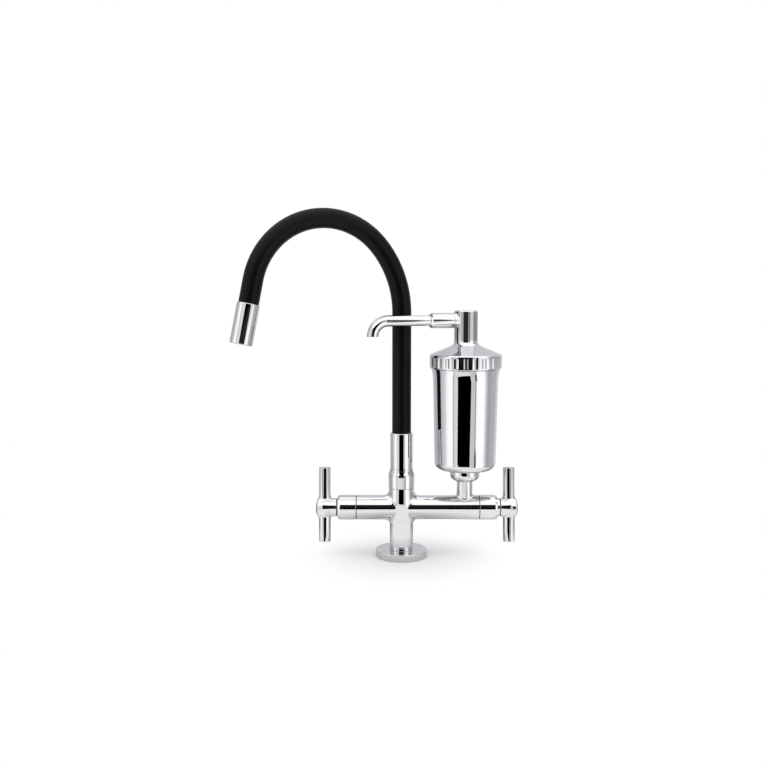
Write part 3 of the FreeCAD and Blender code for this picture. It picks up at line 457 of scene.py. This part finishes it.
def hose_coil(name, route, start, end, outer_r, bore_r):
    """The steel gooseneck between two stations: one wire wound close, bent along the route."""
    wire_r = (outer_r - bore_r) / 2
    pitch = 2 * wire_r * COIL_PITCH_IN_WIRES
    turns = int((end - start - 2 * wire_r) / pitch)
    foot = start - ROUTE_START + wire_r
    bpy.ops.object.select_all(action="DESELECT")
    bpy.ops.mesh.primitive_circle_add(vertices=8, radius=wire_r * MM,
                                      location=((bore_r + wire_r) * MM, 0, foot * MM),
                                      rotation=(math.radians(90), 0, 0))
    coil = bpy.context.object
    coil.name = name
    bpy.ops.object.transform_apply(location=True, rotation=True, scale=True)
    apply_modifier(coil, "SCREW", angle=math.tau, steps=24, render_steps=24, iterations=turns,
                   screw_offset=pitch * MM, use_merge_vertices=True, merge_threshold=1e-6,
                   use_normal_calculate=True)
    # The wire's two ends are the only open edges, and each gets a face
    bpy.ops.object.mode_set(mode="EDIT")
    bpy.ops.mesh.select_all(action="DESELECT")
    bpy.ops.mesh.select_non_manifold(extend=False, use_wire=False, use_boundary=True,
                                     use_multi_face=False, use_non_contiguous=False, use_verts=False)
    bpy.ops.mesh.edge_face_add()
    bpy.ops.mesh.select_all(action="SELECT")
    bpy.ops.mesh.normals_make_consistent(inside=False)
    bpy.ops.object.mode_set(mode="OBJECT")
    apply_modifier(coil, "CURVE", object=route, deform_axis="POS_Z")
    bpy.ops.object.shade_smooth_by_angle(angle=math.radians(50))
    return coil


# Each bend, with the two bodies that it joins and the stations where its blend starts and ends
BENDS = {
    "lower": ("spout", "hose_lower", 0.0, LOWER_BEND_END),
    "crown": ("hose_lower", "hose_upper", LOWER_SPAN_END, CROWN_BEND_END),
    "outer": ("hose_upper", "nozzle", UPPER_SPAN_END, HOSE_END),
}
# The sleeve's three lengths, with the solids that each one stands for, and the lengths of what is inside it
SLEEVES = {
    "lower": (RISER_FOOT - RISER_TOP, LOWER_SPAN_END, ("riser", "lower_bend", "lower_span")),
    "crown": (LOWER_SPAN_END, UPPER_SPAN_END, ("crown_bend", "upper_span")),
    "outer": (UPPER_SPAN_END, HOSE_END, ("outer_bend",)),
}
CORES = {
    "lower": (ROUTE_START, (LOWER_BEND_END + LOWER_SPAN_END) / 2),
    "crown": ((LOWER_BEND_END + LOWER_SPAN_END) / 2, (CROWN_BEND_END + UPPER_SPAN_END) / 2),
    "outer": ((CROWN_BEND_END + UPPER_SPAN_END) / 2, HOSE_END + SOCKET_DEPTH),
}


def finish_hose_piece(piece, part, slot, nodes):
    body_a, body_b, start, end = BENDS[part]
    piece.data.materials.append(FINISHES[slot])
    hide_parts(*nodes)
    hose_at(start)[0]
    hose_at(end)[0]
    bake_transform(piece)


def make_hose():
    route = lay_route()
    for part in BENDS:
        start, end, stretches = SLEEVES[part]
        sleeve = hose_tube("hose_sleeve_over_" + part, route, start, end, SLEEVE_R, SLEEVE_WALL)
        finish_hose_piece(sleeve, part, "hose_rubber", ["hose_sleeve_" + stretch for stretch in stretches])
        start, end = CORES[part]
        coil = hose_coil("gooseneck_coil_" + part, route, start, end, COIL_R, COIL_BORE_R)
        finish_hose_piece(coil, part, "steel", ["gooseneck_core_" + part])
        tube = hose_tube("water_hose_" + part, route, start, end, WATER_TUBE_R, WATER_TUBE_WALL)
        finish_hose_piece(tube, part, "white_plastic", ["water_tube_" + part])
    bpy.data.objects.remove(route)


place_camera()
studio_world()
white_floor()
dark_card()
soft_lamp()

# A mottled finish has a dark and a light tone, a lowest and a highest roughness, its number of grains per
# metre and their depth in metres
FINISHES = {
    "chrome": polished_chrome(),
    "hose_rubber": silicone_rubber(),
    "brass": mottled("turned_brass", "#B08D4C", "#CDAA66", 0.22, 0.38, 700.0, 0.00003, Metallic=1.0),
    "steel": mottled("stainless_steel", "#A3A6AA", "#BEC1C5", 0.24, 0.4, 800.0, 0.00003, Metallic=1.0),
    "seal_rubber": mottled("epdm_rubber", "#101011", "#1B1B1C", 0.55, 0.75, 1200.0, 0.00008),
    "disc": mottled("alumina_ceramic", "#E9E6DD", "#F4F2EC", 0.1, 0.2, 500.0, 0.00001),
    "white_plastic": mottled("white_acetal", "#DEDEDA", "#EDEDEA", 0.3, 0.45, 500.0, 0.00004),
    "filter_media": mottled("melt_blown_filter", "#D9D7CC", "#F0EEE6", 0.8, 0.95, 350.0, 0.0006),
}
slots = {row["node"]: row["material_slot"] for row in frame["record"]["subparts"]}
for name, cad_object in frame["nodes"].items():
    cad_object.data.materials.clear()
    cad_object.data.materials.append(FINISHES[slots[name]])

make_hose()
